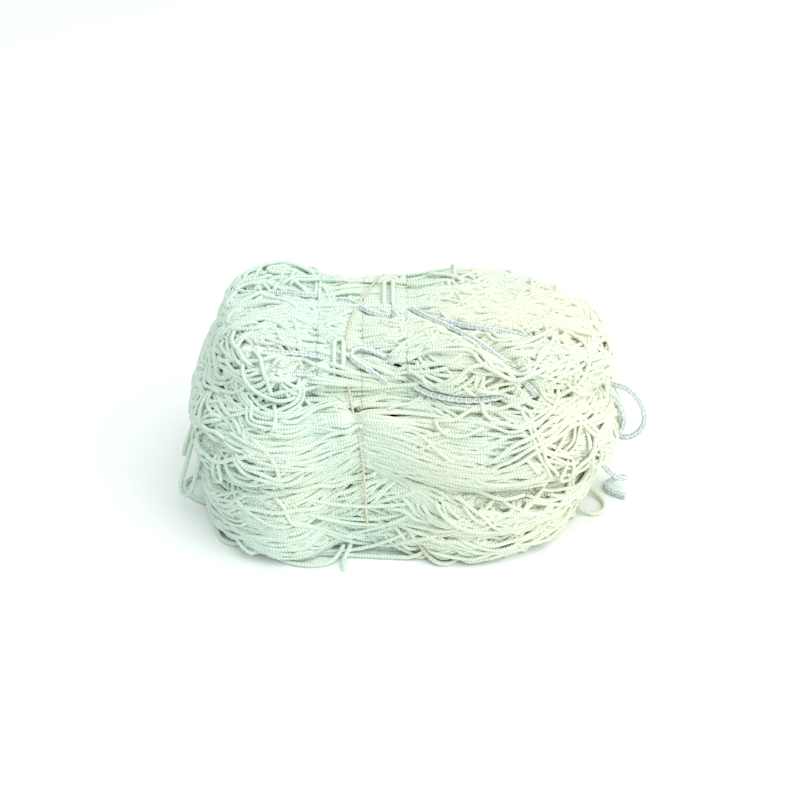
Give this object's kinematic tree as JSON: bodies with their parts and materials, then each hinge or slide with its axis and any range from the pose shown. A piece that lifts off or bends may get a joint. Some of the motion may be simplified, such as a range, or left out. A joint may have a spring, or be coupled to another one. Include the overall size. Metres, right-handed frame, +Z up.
{
  "type": "tennis net",
  "caption": "Tennis net off its posts, folded into four soft layers of white twine and tied into a hank; the upper layers lift at the waist.",
  "frame": {"origin": "on the floor, under the middle of the hank's box", "axes": "+Z up, +X along the hank to the right, front towards -Y"},
  "size_m": [0.366, 0.2421, 0.1538],
  "materials": {
    "netting": "soft knitted white twine, packed",
    "twine": "soft knitted white twine",
    "border_cord": "grey and white flecked braid",
    "tie": "thin tan twisted cord"
  },
  "bodies": {
    "base": {"floor_fold": "netting", "lower_fold": "netting", "middle_waist": "netting", "top_waist": "netting", "waist_tie": "tie", "waist_tie_knot": "tie", "upper_lashing": "twine", "lower_lashing": "twine", "head_cord_waist": "border_cord", "foot_cord_bight": "border_cord", "left_floor_bight": "twine", "front_left_floor_bight": "twine", "front_floor_bight": "twine", "front_middle_floor_bight": "twine", "front_right_floor_bight": "twine", "right_floor_bight": "twine", "back_floor_bight": "twine", "front_tail": "twine", "side_cord_end": "border_cord"},
    "middle_left": {"middle_left_fold": "netting", "left_hanging_bight": "twine", "left_outer_bight": "twine", "left_ring_bight": "twine"},
    "middle_right": {"middle_right_fold": "netting", "side_cord_inner_loop": "border_cord", "side_cord_outer_loop": "border_cord"},
    "top_left": {"top_left_fold": "netting", "head_cord_left": "border_cord", "foot_cord_left": "border_cord", "foot_cord_left_return": "border_cord", "top_left_ring_bight": "twine", "top_left_low_bight": "twine", "cord_end_knot": "tie"},
    "top_right": {"top_right_fold": "netting", "head_cord_right": "border_cord", "head_cord_return": "border_cord", "foot_cord_right": "border_cord"}
  },
  "joints": [
    {"name": "middle_left_lift", "type": "hinge", "parent": "base", "child": "middle_left", "pos_m": [-0.062, 0, 0.116], "axis": [0, 1, 0], "range_deg": [0, 12]},
    {"name": "middle_right_lift", "type": "hinge", "parent": "base", "child": "middle_right", "pos_m": [-0.014, 0, 0.116], "axis": [0, -1, 0], "range_deg": [0, 12]},
    {"name": "top_left_lift", "type": "hinge", "parent": "middle_left", "child": "top_left", "pos_m": [-0.062, 0, 0.144], "axis": [0, 1, 0], "range_deg": [0, 25]},
    {"name": "top_right_lift", "type": "hinge", "parent": "middle_right", "child": "top_right", "pos_m": [-0.014, 0, 0.144], "axis": [0, -1, 0], "range_deg": [0, 25]}
  ]
}
